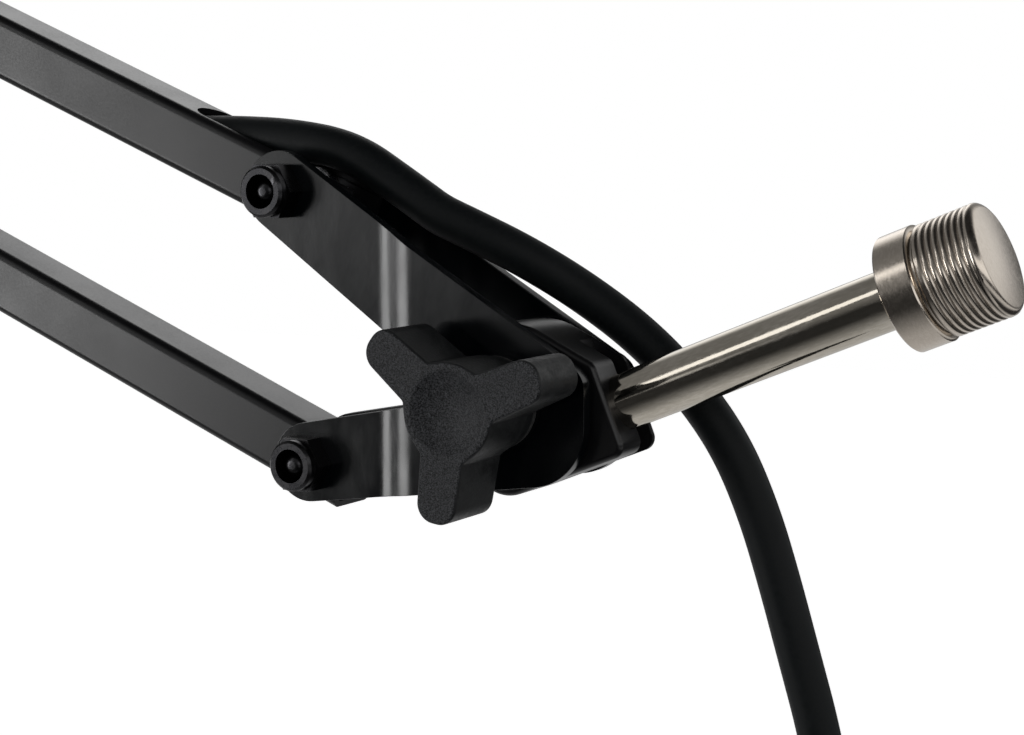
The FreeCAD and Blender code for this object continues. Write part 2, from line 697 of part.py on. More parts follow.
knob = new_body("tilt_knob", "At.tilt_x", 0, "At.tilt_z")
lobes = new_sketch(knob, "XZ_Plane", "At.lobe_back")
root_out = "(Dim.lobe_half + Dim.lobe_flare + Dim.lobe_root)"
root_arm = "1.02 * (Dim.hub_radius + Dim.lobe_root)"
root_along = f"sqrt(({root_arm}) ^ 2 - {root_out} ^ 2)"
tip_along, tip_out = "Dim.knob_reach - Dim.lobe_corner", "Dim.lobe_half - Dim.lobe_corner"
lobe_edge = []
for k in range(3):
    angle = f"Dim.knob_lobe_turn + {120 * k}"
    lobe_edge += [
        polar(angle, root_along, f"-{root_out}") + ("Dim.lobe_root", -1),
        polar(angle, tip_along, f"-({tip_out})") + ("Dim.lobe_corner", 1),
        polar(angle, tip_along, tip_out) + ("Dim.lobe_corner", 1),
        polar(angle, root_along, root_out) + ("Dim.lobe_root", -1),
        (0, 0, "Dim.hub_radius", 1),
    ]
outline(lobes, lobe_edge)
lobe_pad = pad(knob, lobes, "Dim.lobe_depth")
face_y = -value("At.knob_face")
soften(knob, lobe_pad, "Dim.knob_edge",
       lambda edge: all(abs(corner.Point.y - face_y) < 1e-6 for corner in edge.Vertexes))
hub = new_sketch(knob, "XZ_Plane", "At.hub_back")
circle(hub, 0, 0, "Dim.hub_collar_radius")
pad(knob, hub, "Dim.hub_collar_height")
bore = new_sketch(knob, "XZ_Plane", "At.hub_back")
circle(bore, 0, 0, "Dim.insert_radius + Dim.press_fit")
pocket(knob, bore, "Dim.insert_depth", back=True)
dish_ball = "(Dim.dish_radius ^ 2 + Dim.dish_depth ^ 2) / (2 * Dim.dish_depth)"
dish = knob.newObject("PartDesign::SubtractiveSphere", "knob_dish")
dish.AttachmentSupport = bore.AttachmentSupport
dish.MapMode = "FlatFace"
bind(dish, {"Radius": dish_ball, "AttachmentOffset.Base.z": f"At.knob_face + {dish_ball} - Dim.dish_depth"})
node("tilt_knob", knob)

insert = along_y("knob_insert", "At.tilt_x", "At.tilt_z")
turn_profile(insert, [
    ("Dim.tilt_bolt_radius + Dim.tilt_fit", "-At.hub_back"),
    ("Dim.tilt_bolt_radius + Dim.tilt_fit", "-At.hub_back - Dim.insert_depth"),
    ("Dim.insert_radius", "-At.hub_back - Dim.insert_depth"), ("Dim.insert_radius", "-At.hub_back")])
node("knob_insert", insert)

# Tilting block with the nickel shaft and its threaded stud, lying along the shaft

block = new_body("swivel_block", "At.tilt_x", 0, "At.tilt_z", "Dim.tilt_rise", down=False)
cheek = new_sketch(block, "XZ_Plane")
block_low = "(Dim.block_round + Dim.block_round_drop)"
corner_x = "Dim.block_front - Dim.block_corner"
outline(cheek, [(0, "-Dim.block_round_drop", "Dim.block_round", 1),
                ("-Dim.block_heel_back", f"Dim.block_heel_radius - {block_low}", "Dim.block_heel_radius", 1),
                (corner_x, f"Dim.block_corner - {block_low}", "Dim.block_corner", 1),
                (corner_x, "Dim.block_brow - Dim.block_corner", "Dim.block_corner", 1)])
cheek_pad = pad(block, cheek, "Dim.block_width", both=True)
half_block = value("Dim.block_width / 2")
soften(block, cheek_pad, "Dim.block_rim",
       lambda edge: all(abs(abs(corner.Point.y) - half_block) < 1e-6 for corner in edge.Vertexes))
tilt_hole = new_sketch(block, "XZ_Plane")
circle(tilt_hole, 0, 0, "Dim.tilt_bolt_radius + Dim.tilt_fit")
circle(tilt_hole, "Dim.shaft_pin_ahead", "-Dim.shaft_drop", "Dim.shaft_pin_radius + Dim.press_fit")
pocket(block, tilt_hole)
shaft_bore = new_sketch(block, "YZ_Plane", "Dim.block_front")
circle(shaft_bore, 0, "-Dim.shaft_drop", "Dim.shaft_radius + Dim.press_fit")
pocket(block, shaft_bore, "Dim.shaft_seat")
shaft_slot = new_sketch(block, "YZ_Plane", "Dim.block_front")
slot_side, slot_end = "Dim.shaft_radius + Dim.press_fit", "2 * Dim.block_round"
outline(shaft_slot, [("Dim.block_slot_start", f"-{slot_end}"), (slot_side, f"-{slot_end}"),
                     (slot_side, slot_end), ("Dim.block_slot_start", slot_end)])
pocket(block, shaft_slot, "Dim.block_slot_depth")
node("swivel_block", block)


def shaft_body(name):
    """A body whose Z axis is the axis of the shaft, measured from beside the tilt axis."""
    body = doc.addObject("PartDesign::Body", name + "_body")
    lean = FreeCAD.Rotation(FreeCAD.Vector(0, 1, 0), 90 - value("Dim.tilt_rise"))
    body.Placement = FreeCAD.Placement(FreeCAD.Vector(), lean)
    bind(body, {"Placement.Rotation.Angle": "90 - Dim.tilt_rise"})
    place(body, "At.tilt_x + Dim.shaft_drop * sin(Dim.tilt_rise)", 0,
          "At.tilt_z - Dim.shaft_drop * cos(Dim.tilt_rise)")
    return body


shaft_foot = "Dim.block_front - Dim.shaft_seat"
shaft_top = "Dim.stud_start + Dim.stud_bore"
shaft = shaft_body("mic_shaft")
rod = new_sketch(shaft, "XY_Plane", shaft_foot)
circle(rod, 0, 0, "Dim.shaft_radius")
pad(shaft, rod, f"{shaft_top} - ({shaft_foot})")
cross = new_sketch(shaft, "XZ_Plane")
circle(cross, 0, "Dim.shaft_pin_ahead", "Dim.shaft_pin_radius + Dim.press_fit")
pocket(shaft, cross)
node("mic_shaft", shaft)

pin = along_y("shaft_pin", "At.tilt_x + Dim.shaft_pin_ahead * cos(Dim.tilt_rise)"
              " + Dim.shaft_drop * sin(Dim.tilt_rise)",
              "At.tilt_z + Dim.shaft_pin_ahead * sin(Dim.tilt_rise) - Dim.shaft_drop * cos(Dim.tilt_rise)")
pin_ring = new_sketch(pin, "XY_Plane")
circle(pin_ring, 0, 0, "Dim.shaft_pin_radius")
pad(pin, pin_ring, "Dim.block_width", both=True)
node("shaft_pin", pin)

stud = shaft_body("thread_stud")
collar_end = "Dim.stud_start + Dim.stud_collar_length"
rim = "Dim.stud_collar_radius - Dim.stud_collar_edge"
seat_radius = "Dim.shaft_radius + Dim.press_fit"
tip_slope = "Dim.stud_thread_radius - Dim.stud_tip_radius"
relief_slope = "Dim.stud_thread_radius - Dim.stud_relief_radius"
turn_profile(stud, [
    (0, "At.stud_end"), (0, shaft_top), (seat_radius, shaft_top), (seat_radius, "Dim.stud_start"),
    (rim, "Dim.stud_start"), ("Dim.stud_collar_radius", "Dim.stud_start + Dim.stud_collar_edge"),
    ("Dim.stud_collar_radius", f"{collar_end} - Dim.stud_collar_edge"), (rim, collar_end),
    ("Dim.stud_relief_radius", collar_end),
    ("Dim.stud_relief_radius", f"At.stud_thread_start - ({relief_slope})"),
    ("Dim.stud_thread_radius", "At.stud_thread_start"),
    ("Dim.stud_thread_radius", f"At.stud_end - ({tip_slope})"), ("Dim.stud_tip_radius", "At.stud_end")])
node("thread_stud", stud)

# Desk clamp

frame = new_body("clamp_frame")
profile = new_sketch(frame, "XZ_Plane")
outer, inner, tip = "Dim.clamp_outer_corner", "Dim.clamp_inner_corner", "Dim.clamp_tip_corner"
spine_back = "(Dim.throat + Dim.spine_thick)"
outline(profile, [
    (f"Dim.lower_jaw_reach - {tip}", f"At.lower_jaw_under + {tip}", tip, 1),
    (f"Dim.lower_jaw_reach - {tip}", f"-Dim.mouth - {tip}", tip, 1),
    (f"-Dim.throat + {inner}", f"-Dim.mouth + {inner}", inner, -1),
    (f"-Dim.throat + {inner}", f"At.jaw_under - {inner}", inner, -1),
    (f"Dim.jaw_reach - {tip}", f"At.jaw_under + {tip}", tip, 1),
    (f"Dim.jaw_reach - {tip}", f"At.jaw_top - {tip}", tip, 1),
    (f"-{spine_back} + {outer}", f"At.jaw_top - {outer}", outer, 1),
    (f"-{spine_back} + {outer}", f"At.lower_jaw_under + {outer}", outer, 1)])
bow = pad(frame, profile, "Dim.clamp_width", both=True)
half_clamp = value("Dim.clamp_width / 2")
soften(frame, bow, "Dim.clamp_rim",
       lambda edge: all(abs(abs(corner.Point.y) - half_clamp) < 1e-6 for corner in edge.Vertexes))
boss = new_sketch(frame, "XY_Plane", "At.jaw_under + Dim.boss_floor")
circle(boss, 0, 0, "Dim.boss_radius")
pad(frame, boss, "At.boss_top - At.jaw_under - Dim.boss_floor")
nut_boss = new_sketch(frame, "XY_Plane", "At.lower_jaw_under - Dim.nut_boss_height")
circle(nut_boss, 0, 0, "Dim.nut_boss_radius")
pad(frame, nut_boss, "Dim.nut_boss_height + Dim.jaw_thick / 2")
bush_radius = "(Dim.post_radius + Dim.post_fit + Dim.bush_wall)"
socket = new_sketch(frame, "XY_Plane", "At.boss_top")
circle(socket, 0, 0, f"{bush_radius} + Dim.press_fit")
pocket(frame, socket, "At.boss_top - At.jaw_under - Dim.boss_floor")
spindle_hole = new_sketch(frame, "XY_Plane", "-Dim.mouth")
circle(spindle_hole, 0, 0, "Dim.spindle_radius + Dim.spindle_fit")
pocket(frame, spindle_hole, "Dim.jaw_thick + Dim.nut_boss_height")
node("clamp_frame", frame)

jaw_pad = new_body("jaw_pad")
pad_face = new_sketch(jaw_pad, "XY_Plane")
pad_back = "-Dim.throat + Dim.clamp_inner_corner"
pad_front = "Dim.jaw_reach - Dim.clamp_tip_corner - Dim.jaw_pad_inset"
pad_half = "Dim.clamp_width / 2 - Dim.jaw_pad_inset"
outline(pad_face, [(f"{x} {shift} {tip}", f"{sign} ({pad_half} - {tip})", tip, 1)
                   for x, shift, sign in ((pad_back, "+", "-"), (pad_front, "-", "-"),
                                          (pad_front, "-", ""), (pad_back, "+", ""))])
pad(jaw_pad, pad_face, "Dim.jaw_pad_thick")
node("jaw_pad", jaw_pad)

bush = new_body("socket_bush")
bush_bore = "Dim.post_radius + Dim.post_fit"
bush_foot = "At.jaw_under + Dim.boss_floor"
flange_top = "At.boss_top + Dim.bush_flange_thick"
turn_profile(bush, [(bush_bore, bush_foot), (bush_radius, bush_foot), (bush_radius, "At.boss_top"),
                    ("Dim.bush_flange_radius", "At.boss_top"), ("Dim.bush_flange_radius", flange_top),
                    (bush_bore, flange_top)])
node("socket_bush", bush)

post = new_body("base_post")
flange_edge = "Dim.post_flange_thick / 4"
turn_profile(post, [
    (0, f"{bush_foot} + Dim.post_play"), ("Dim.post_radius", f"{bush_foot} + Dim.post_play"),
    ("Dim.post_radius", "At.flange_under"), ("Dim.post_flange_radius", "At.flange_under"),
    ("Dim.post_flange_radius", f"At.block_under - {flange_edge}"),
    (f"Dim.post_flange_radius - {flange_edge}", "At.block_under"), ("Dim.post_radius / 2", "At.block_under"),
    ("Dim.post_radius / 2", "At.block_under + Dim.post_seat - Dim.press_fit"),
    (0, "At.block_under + Dim.post_seat - Dim.press_fit")])
node("base_post", post)

# Clamp spindle, its swivel disc and its sliding bar

disc = new_body("clamp_disc")
tip_bore = "Dim.spindle_tip_radius + Dim.spindle_fit"
turn_profile(disc, [
    (0, "At.disc_under"), (tip_bore, "At.disc_under"), (tip_bore, "At.spindle_top"),
    ("Dim.disc_boss_radius", "At.spindle_top"), ("Dim.disc_boss_radius", "At.disc_under"),
    ("Dim.disc_radius", "At.disc_under + Dim.disc_thick / 3"), ("Dim.disc_radius", "At.disc_top"),
    (0, "At.disc_top")])
node("clamp_disc", disc)

disc_pad = new_body("disc_pad")
pad_ring = new_sketch(disc_pad, "XY_Plane", "At.disc_top")
circle(pad_ring, 0, 0, "Dim.disc_radius - Dim.disc_pad_thick / 2")
pad(disc_pad, pad_ring, "Dim.disc_pad_thick")
node("disc_pad", disc_pad)

spindle = new_body("clamp_spindle")
head_top = "At.spindle_bottom + Dim.spindle_head_height"
tip_top = "At.disc_under - Dim.spindle_fit"
shoulder = "At.spindle_top - Dim.spindle_fit"
head_edge = "Dim.spindle_head_radius / 5"
turn_profile(spindle, [
    (0, "At.spindle_bottom"), (f"Dim.spindle_head_radius - {head_edge}", "At.spindle_bottom"),
    ("Dim.spindle_head_radius", f"At.spindle_bottom + {head_edge}"),
    ("Dim.spindle_head_radius", f"{head_top} - {head_edge}"),
    (f"Dim.spindle_head_radius - {head_edge}", head_top), ("Dim.spindle_radius", head_top),
    ("Dim.spindle_radius", shoulder), ("Dim.spindle_tip_radius", shoulder),
    ("Dim.spindle_tip_radius", tip_top), (0, tip_top)])
bar_z = "At.spindle_bottom + Dim.spindle_head_height / 2"
bar_hole = new_sketch(spindle, "XZ_Plane")
circle(bar_hole, 0, bar_z, "Dim.tbar_radius + Dim.press_fit")
pocket(spindle, bar_hole)
node("clamp_spindle", spindle)

tbar = along_y("clamp_tbar", 0, bar_z)
bar_ring = new_sketch(tbar, "XY_Plane")
circle(bar_ring, 0, 0, "Dim.tbar_radius")
pad(tbar, bar_ring, "Dim.tbar_length", both=True)
node("clamp_tbar", tbar)


def tbar_cap(name, side):
    """A soft cap pushed over one end of the sliding bar."""
    body = along_y(name, 0, bar_z)
    inside = f"{side} * (Dim.tbar_length - Dim.tbar_cap_length) / 2"
    end = f"{side} * Dim.tbar_length / 2"
    crown = f"{side} * (Dim.tbar_length / 2 + Dim.tbar_cap_radius - Dim.tbar_radius)"
    bore_radius = "Dim.tbar_radius + Dim.press_fit"
    corners = [(0, end), (bore_radius, end), (bore_radius, inside), ("Dim.tbar_cap_radius", inside),
               ("Dim.tbar_cap_radius", end), ("Dim.tbar_radius", crown), (0, crown)]
    turn_profile(body, corners)
    return body


group("tbar_caps", [tbar_cap("tbar_cap_near", -1), tbar_cap("tbar_cap_far", 1)])


# Microphone lead: a round cord on straight runs joined by tangent arcs

def cord(name, start_x, start_z, route):
    """A free stretch of the lead, along a route given from a pivot."""
    radius = value("Dim.lead_radius")
    origin = FreeCAD.Vector(value(start_x), 0, value(start_z))
    points = [origin + FreeCAD.Vector(*spot) for spot in route]
    edges, bends, here = [], [], points[0]
    for before, corner, after in zip(points, points[1:], points[2:]):
        arrive, leave = (corner - before).normalize(), (after - corner).normalize()
        half_turn = arrive.getAngle(leave) / 2
        setback = 0.45 * min((corner - before).Length, (after - corner).Length)
        bends.append(setback / math.tan(half_turn))
        start, stop = corner - arrive * setback, corner + leave * setback
        middle_way = (leave - arrive).normalize()
        centre = corner + middle_way * (bends[-1] / math.cos(half_turn))
        middle = centre - middle_way * bends[-1]
        edges += [Part.LineSegment(here, start).toShape(), Part.Arc(start, middle, stop).toShape()]
        here = stop
    edges.append(Part.LineSegment(here, points[-1]).toShape())
    path = Part.Wire(edges)
    ring = Part.Wire(Part.Circle(points[0], points[1] - points[0], radius).toShape())
    solid = path.makePipeShell([ring], True, False)
    feature = doc.addObject("Part::Feature", name + "_cord")
    feature.Shape = solid
    print(name, "length", round(path.Length, 1), "bend radii", [round(bend) for bend in bends],
          "volume ratio", round(solid.Volume / (math.pi * radius ** 2 * path.Length), 4))
    return node(name, feature)


cord("mic_lead", "At.tilt_x", "At.tilt_z", MIC_ROUTE)
cord("line_lead", "At.over_x", "At.over_z", LINE_ROUTE)

tube_lead = new_body("tube_lead", "At.over_x", 0, "At.over_z", "Dim.upper_fall", down=True)
lead_ring = new_sketch(tube_lead, "YZ_Plane", "Dim.lead_tube_start")
circle(lead_ring, 0, "-Dim.bar_drop", "Dim.lead_radius")
pad(tube_lead, lead_ring, "Dim.upper_length - 2 * Dim.lead_tube_start")
node("tube_lead", tube_lead)


# Connectors on the lead's two ends, hanging with their axis upright

def hung_body(name, pivot_x, pivot_z, route):
    """A body at the end of a route, with Z up along the cord."""
    end_x, end_y, end_z = route[-1]
    return new_body(name, f"{pivot_x} + {end_x}", end_y, f"{pivot_z} + {end_z}")


SHELL_TOP = "-Dim.boot_length"
SHELL_END = "-Dim.boot_length - Dim.shell_length"
SHELL_BORE = "Dim.shell_radius - Dim.shell_wall"


def boot(name, spot):
    """The ribbed rubber sleeve that keeps the cord from kinking at the connector."""
    body = hung_body(name, *spot)
    ribs = 4
    corners = [(0, SHELL_TOP), ("Dim.boot_root_radius", SHELL_TOP)]
    for k in range(ribs):
        wide = f"(Dim.boot_root_radius + (Dim.boot_tip_radius - Dim.boot_root_radius) * {k + 1} / {ribs})"
        low, high = (f"-Dim.boot_length * {1 - (k + share) / ribs}" for share in (0.55, 0.8))
        root = f"{wide} - Dim.lead_radius / 5"
        corners += [(wide, low), (root, low), (root, high), (wide, high)]
    corners += [("Dim.boot_tip_radius", 0), (0, 0)]
    turn_profile(body, corners)
    return node(name, body)


def shell(name, spot, depth):
    """The metal barrel of a connector, open at its lower end to a depth."""
    body = hung_body(name, *spot)
    step = "Dim.shell_radius - Dim.shell_neck_radius"
    floor = f"{SHELL_END} + {depth}"
    turn_profile(body, [
        (0, floor), (SHELL_BORE, floor), (SHELL_BORE, SHELL_END), ("Dim.shell_radius", SHELL_END),
        ("Dim.shell_radius", f"{SHELL_TOP} - 2 * Dim.shell_neck_radius"),
        ("Dim.shell_neck_radius", f"{SHELL_TOP} - 2 * Dim.shell_neck_radius + {step}"),
        ("Dim.shell_neck_radius", SHELL_TOP), (0, SHELL_TOP)])
    return node(name, body)


MIC_END = ("At.tilt_x", "At.tilt_z", MIC_ROUTE)
LINE_END = ("At.over_x", "At.over_z", LINE_ROUTE)
PIN_ANGLES = (30, 150, 270)
pin_spots = [(f"Dim.pin_circle * cos({angle})", f"Dim.pin_circle * sin({angle})") for angle in PIN_ANGLES]

boot("mic_socket_boot", MIC_END)
shell("mic_socket_shell", MIC_END, "Dim.plug_depth")
boot("line_plug_boot", LINE_END)
shell("line_plug_shell", LINE_END, "Dim.plug_depth")

socket_insert = hung_body("mic_socket_insert", *MIC_END)
insert_face = new_sketch(socket_insert, "XY_Plane", f"{SHELL_END} + Dim.socket_recess")
circle(insert_face, 0, 0, f"{SHELL_BORE} - Dim.press_fit")
pad(socket_insert, insert_face, "Dim.plug_depth - Dim.socket_recess")
pin_holes = new_sketch(socket_insert, "XY_Plane", f"{SHELL_END} + Dim.socket_recess")
for x, y in pin_spots:
    circle(pin_holes, x, y, "Dim.pin_radius + Dim.pin_hole_fit")
pocket(socket_insert, pin_holes, "Dim.pin_hole_depth", back=True)
node("mic_socket_insert", socket_insert)

latch = hung_body("mic_socket_latch", *MIC_END)
latch_face = new_sketch(latch, "YZ_Plane", "Dim.shell_radius")
half_latch = "Dim.latch_width / 2 - Dim.latch_height"
latch_low = f"{SHELL_END} + 2 * Dim.latch_height"
outline(latch_face, [(f"{sign} ({half_latch})", z, "Dim.latch_height", 1) for sign, z in (
    ("-", latch_low), ("", latch_low),
    ("", f"{latch_low} + Dim.latch_length"), ("-", f"{latch_low} + Dim.latch_length"))])
pad(latch, latch_face, "Dim.latch_height")
node("mic_socket_latch", latch)


def line_pin(k, x, y):
    """One contact pin in the open end of the line connector."""
    body = hung_body(f"line_pin_{k}", *LINE_END)
    ring = new_sketch(body, "XY_Plane", f"{SHELL_END} + Dim.plug_depth - Dim.pin_length")
    circle(ring, x, y, "Dim.pin_radius")
    pad(body, ring, "Dim.pin_length")
    return body


group("line_plug_pins", [line_pin(k, x, y) for k, (x, y) in enumerate(pin_spots)])

doc.recompute()
faults = [thing.Label for thing in doc.Objects if {"Invalid", "Error"} & set(thing.State)]
faults += [name for name, thing in nodes.items() if thing.Shape.isNull() or not thing.Shape.isValid()]
if faults:
    raise RuntimeError(f"not built: {faults}")
os.makedirs("parts", exist_ok=True)
for name, thing in nodes.items():
    thing.Shape.exportStep(f"parts/{name}.step")
print(len(nodes), "nodes written")
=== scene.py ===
# %% [markdown]
# # A microphone boom arm, dressed for its picture
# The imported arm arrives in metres, with each solid at its place, and nothing here moves or
# resizes a solid. This lesson copies each one, softens its edges and gives it a finish. It then
# sweeps the lead, cuts the screw threads and lights the arm like a small product in a studio.

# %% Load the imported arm
import bpy
import json
import math
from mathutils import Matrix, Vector


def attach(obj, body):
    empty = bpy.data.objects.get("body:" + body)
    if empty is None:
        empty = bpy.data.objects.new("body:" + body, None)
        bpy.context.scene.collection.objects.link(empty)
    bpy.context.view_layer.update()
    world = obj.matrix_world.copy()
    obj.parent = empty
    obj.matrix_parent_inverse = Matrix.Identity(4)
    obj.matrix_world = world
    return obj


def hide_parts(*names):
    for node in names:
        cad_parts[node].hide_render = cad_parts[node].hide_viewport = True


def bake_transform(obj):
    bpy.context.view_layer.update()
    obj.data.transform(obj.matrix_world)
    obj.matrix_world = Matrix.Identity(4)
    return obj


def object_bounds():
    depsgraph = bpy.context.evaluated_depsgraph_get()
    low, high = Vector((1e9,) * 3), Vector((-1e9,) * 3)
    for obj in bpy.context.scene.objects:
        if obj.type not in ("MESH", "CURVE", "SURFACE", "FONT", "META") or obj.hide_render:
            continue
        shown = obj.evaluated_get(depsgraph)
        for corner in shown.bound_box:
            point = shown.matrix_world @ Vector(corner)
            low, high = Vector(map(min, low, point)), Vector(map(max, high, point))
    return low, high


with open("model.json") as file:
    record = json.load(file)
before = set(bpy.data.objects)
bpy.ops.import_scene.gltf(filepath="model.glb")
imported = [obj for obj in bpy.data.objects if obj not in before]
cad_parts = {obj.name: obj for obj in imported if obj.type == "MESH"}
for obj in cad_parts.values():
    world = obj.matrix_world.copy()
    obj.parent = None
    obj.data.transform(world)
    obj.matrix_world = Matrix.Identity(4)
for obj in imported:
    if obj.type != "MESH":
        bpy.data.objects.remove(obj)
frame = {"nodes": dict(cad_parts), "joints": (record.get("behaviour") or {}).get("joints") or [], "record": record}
cad_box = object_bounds()
record = frame["record"]
bodies = record["behaviour"]["bodies"]
print(len(frame["nodes"]), "packed pieces on", len(bodies), "moving bodies")

# %% [markdown]
# ## The camera
# The picture looks down a little on the tilting head, from its near side and past the
# microphone end. A long lens would flatten the arm. Here the camera stands close, so the tubes
# narrow strongly towards the left, and the lens is chosen to frame the head alone.

# %% Set up the camera
LENS_MM = 74.57
SENSOR_MM = 36
TURN_DEG = 30.22
DIP_DEG = 6.62
NEAREST_M = 0.01
CAMERA_FROM_TILT = Vector((0.15485, -0.26971, 0.04032))
joints = {joint["name"]: joint for joint in frame["joints"]}
tilt_axis = Vector(joints["head_tilt"]["pos_m"])

camera_data = bpy.data.cameras.new("camera")
camera_data.lens = LENS_MM
camera_data.sensor_width = SENSOR_MM
camera_data.sensor_fit = "HORIZONTAL"
camera_data.clip_start = NEAREST_M
camera = bpy.data.objects.new("camera", camera_data)
camera.location = tilt_axis + CAMERA_FROM_TILT
camera.rotation_euler = (math.radians(90 - DIP_DEG), 0, math.radians(TURN_DEG))
bpy.context.collection.objects.link(camera)
bpy.context.scene.camera = camera
bpy.context.scene.view_settings.view_transform = "Standard"
print("camera", round(CAMERA_FROM_TILT.length, 3), "m from the tilt axis")

# %% [markdown]
# ## The grain that all finishes share
# Paint, plated steel and moulded plastic all vary a little from spot to spot. Painting each one
# by hand would repeat the same nodes, so one node group makes the grain once: a fine noise and a
# broad one shift the colour and the roughness, and the fine one raises a shallow bump. The
# coordinates can be turned and stretched, so that the grain of a drawn or lathe-turned piece
# runs along it or round it.

# %% Helpers for nodes
def new_group(name, inputs, outputs):
    """An empty node group with named sockets, and its two end nodes."""
    group = bpy.data.node_groups.new(name, "ShaderNodeTree")
    for socket, kind in inputs.items():
        group.interface.new_socket(socket, in_out="INPUT", socket_type="NodeSocket" + kind)
    for socket, kind in outputs.items():
        group.interface.new_socket(socket, in_out="OUTPUT", socket_type="NodeSocket" + kind)
    return group, group.nodes.new("NodeGroupInput"), group.nodes.new("NodeGroupOutput")


def add_node(tree, kind, wires, **settings):
    """A node with its settings, whose inputs take a socket or a plain number."""
    node = tree.nodes.new("ShaderNode" + kind)
    for setting, choice in settings.items():
        setattr(node, setting, choice)
    for socket, feed in wires.items():
        if isinstance(feed, bpy.types.NodeSocket):
            tree.links.new(feed, node.inputs[socket])
        else:
            node.inputs[socket].default_value = feed
    return node


# %% Build the grain group
FINE_DETAIL = 3
BROAD_DETAIL = 4
GRAIN_LOW = 0.85
GRAIN_HIGH = 1.25


def build_grain_group():
    """Colour, roughness and normal of a surface that varies a little."""
    group, given, result = new_group(
        "surface_grain",
        {"Dark": "Color", "Light": "Color", "Smooth": "Float", "Rough": "Float",
         "Turn": "Vector", "Stretch": "Vector", "Fine": "Float", "Broad": "Float",
         "Depth": "Float"},
        {"Color": "Color", "Roughness": "Float", "Normal": "Vector"})
    given = given.outputs
    place = add_node(group, "TexCoord", {}).outputs["Object"]
    turned = add_node(group, "VectorRotate", {"Vector": place, "Rotation": given["Turn"]},
                      rotation_type="EULER_XYZ").outputs[0]
    spot = add_node(group, "VectorMath", {0: turned, 1: given["Stretch"]},
                    operation="MULTIPLY").outputs[0]
    fine = add_node(group, "TexNoise", {"Vector": spot, "Scale": given["Fine"],
                                        "Detail": FINE_DETAIL}).outputs["Fac"]
    broad = add_node(group, "TexNoise", {"Vector": spot, "Scale": given["Broad"],
                                         "Detail": BROAD_DETAIL}).outputs["Fac"]
    both = add_node(group, "Math", {0: fine, 1: broad}, operation="ADD").outputs[0]
    share = add_node(group, "MapRange", {"Value": both, "From Min": GRAIN_LOW,
                                         "From Max": GRAIN_HIGH}).outputs["Result"]
    tint = add_node(group, "Mix", {"Factor": share, "A": given["Dark"], "B": given["Light"]},
                    data_type="RGBA")
    polish = add_node(group, "Mix", {"Factor": share, "A": given["Smooth"], "B": given["Rough"]})
    bump = add_node(group, "Bump", {"Height": fine, "Distance": given["Depth"]})
    group.links.new(tint.outputs["Result"], result.inputs["Color"])
    group.links.new(polish.outputs["Result"], result.inputs["Roughness"])
    group.links.new(bump.outputs["Normal"], result.inputs["Normal"])
    return group


GRAIN = build_grain_group()
print("grain group with", len(GRAIN.nodes), "nodes")

# %% [markdown]
# ## Painted shade in a thread
# The roots of a thread lie in shade and hold some dirt, while its crests are rubbed bright. The
# thread's mesh carries how deep each point lies in its groove as an attribute, and this group
# darkens and roughens the finish by it: painted shade in the roots, with some real dirt.

# %% Build the thread's shade and dirt group
def build_shade_and_dirt_group():
    """A finish's colour and roughness, darkened by painted shade and dirt where the mesh says so."""
    group, given, result = new_group(
        "thread_shade_and_dirt",
        {"Color": "Color", "Roughness": "Float", "Shade And Dirt": "Color", "Dirt Roughness": "Float"},
        {"Color": "Color", "Roughness": "Float"})
    given = given.outputs
    shade_and_dirt = add_node(group, "Attribute", {}, attribute_name="groove").outputs["Fac"]
    tint = add_node(group, "Mix", {"Factor": shade_and_dirt, "A": given["Color"], "B": given["Shade And Dirt"]},
                    data_type="RGBA")
    dull = add_node(group, "Mix", {"Factor": shade_and_dirt, "A": given["Roughness"],
                                   "B": given["Dirt Roughness"]})
    group.links.new(tint.outputs["Result"], result.inputs["Color"])
    group.links.new(dull.outputs["Result"], result.inputs["Roughness"])
    return group


ROOT_SHADE_AND_DIRT = build_shade_and_dirt_group()
print("dirt group with", len(ROOT_SHADE_AND_DIRT.nodes), "nodes")

# %% [markdown]
# ## Finishes
# The tubes wear a satin black paint, the bracket plates a glossier one. The shaft is
# nickel-plated, the stud at its end is nickel too but turned and handled, and nuts and bolts are
# blackened steel. Each finish is the same shader with the grain group in front of it, so only
# its numbers are written here.

# %% Write the recipe of a finish
DIRT_ROUGHNESS = 0.6


def finish(name, dark, light, rough, metal=0, fine=2000, broad=150, depth=0.00001,
           stretch=(1, 1, 1), turn=(0, 0, 0), root_shade_and_dirt=None, **sockets):
    """A material: two colours that the grain runs between, a roughness range, the grain's size."""
    material = bpy.data.materials.new(name)
    material.use_nodes = True
    tree = material.node_tree
    shader = tree.nodes["Principled BSDF"]
    grain = add_node(tree, "Group", {}, node_tree=GRAIN)
    numbers = {"Dark": (*dark, 1), "Light": (*light, 1), "Smooth": rough[0], "Rough": rough[1],
               "Turn": turn, "Stretch": stretch, "Fine": fine, "Broad": broad, "Depth": depth}
    for socket, number in numbers.items():
        grain.inputs[socket].default_value = number
    colour, roughness = grain.outputs["Color"], grain.outputs["Roughness"]
    # the extra colour darkens the thread roots: painted shade, with some dirt
    if root_shade_and_dirt:
        with_root_shade = add_node(tree, "Group", {}, node_tree=ROOT_SHADE_AND_DIRT)
        tree.links.new(colour, with_root_shade.inputs["Color"])
        tree.links.new(roughness, with_root_shade.inputs["Roughness"])
        with_root_shade.inputs["Shade And Dirt"].default_value = (*root_shade_and_dirt, 1)
        with_root_shade.inputs["Dirt Roughness"].default_value = DIRT_ROUGHNESS
        colour, roughness = with_root_shade.outputs["Color"], with_root_shade.outputs["Roughness"]
    tree.links.new(colour, shader.inputs["Base Color"])
    tree.links.new(roughness, shader.inputs["Roughness"])
    tree.links.new(grain.outputs["Normal"], shader.inputs["Normal"])
    shader.inputs["Metallic"].default_value = metal
    for socket, number in sockets.items():
        shader.inputs[socket.replace("_", " ")].default_value = number
    return material


